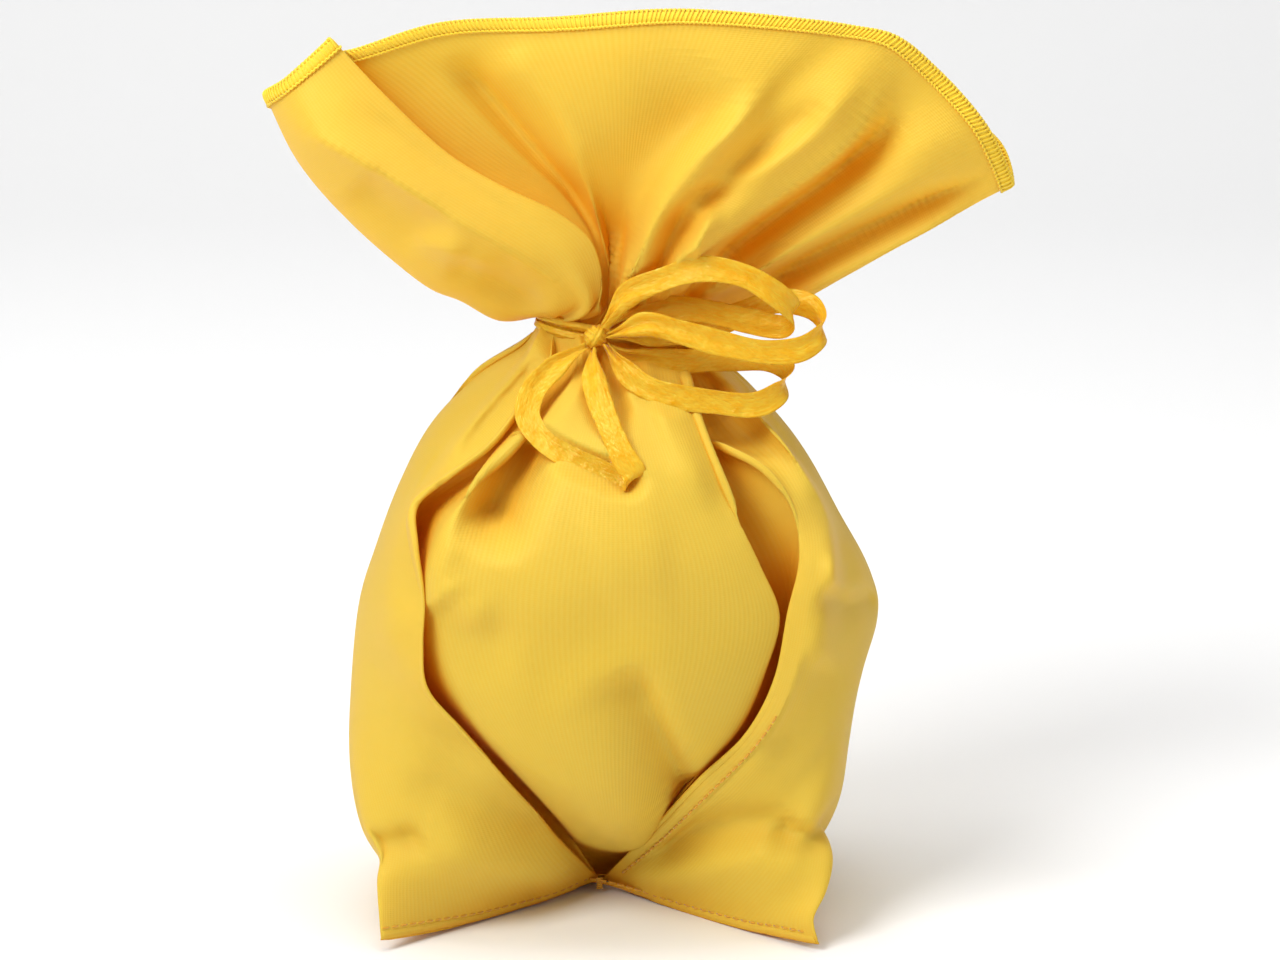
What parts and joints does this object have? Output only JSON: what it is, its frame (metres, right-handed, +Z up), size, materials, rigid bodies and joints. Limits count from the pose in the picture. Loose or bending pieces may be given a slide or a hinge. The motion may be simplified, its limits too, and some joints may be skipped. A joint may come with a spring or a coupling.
{
  "type": "fabric gift sack",
  "caption": "Soft cloth gift sack filled to stand on its base, tied at the neck with narrow satin ribbon loops, its open collar fanned out above the tie.",
  "frame": {"origin": "centre of the bounding box at the surface the sack stands on", "axes": "+Z up through the tied neck, -Y out of the front, where the knot and the folded bottom seam are"},
  "size_m": [0.1885, 0.0851, 0.2346],
  "materials": {
    "sack_cloth": "smooth poplin with a soft sheen",
    "sewing_thread": "spun sewing thread",
    "satin_ribbon": "glossy satin",
    "filling": "crumpled soft filling"
  },
  "bodies": {
    "sack": {"pouch_cloth": "sack_cloth", "collar_cloth": "sack_cloth", "stuffing": "filling", "bottom_seam_binding": "sack_cloth", "bottom_seam_stitching": "sewing_thread", "front_seam_strip": "sack_cloth", "front_seam_stitching": "sewing_thread", "centre_bartack": "sewing_thread", "rim_overlock": "sewing_thread", "neck_turn_upper": "satin_ribbon", "neck_turn_lower": "satin_ribbon", "knot": "satin_ribbon"},
    "bow_loops": {"loop_upper": "satin_ribbon", "loop_middle": "satin_ribbon", "loop_lower": "satin_ribbon"},
    "tail_loop": {"tail_loop": "satin_ribbon"}
  },
  "joints": [
    {"name": "bow_swing", "type": "hinge", "parent": "sack", "child": "bow_loops", "pos_m": [-0.0105, -0.0141, 0.1497], "axis": [0, 0, -1], "range_deg": [0, 30]},
    {"name": "tail_swing", "type": "hinge", "parent": "sack", "child": "tail_loop", "pos_m": [-0.0105, -0.0141, 0.1497], "axis": [-1, 0, 0], "range_deg": [0, 55]}
  ]
}
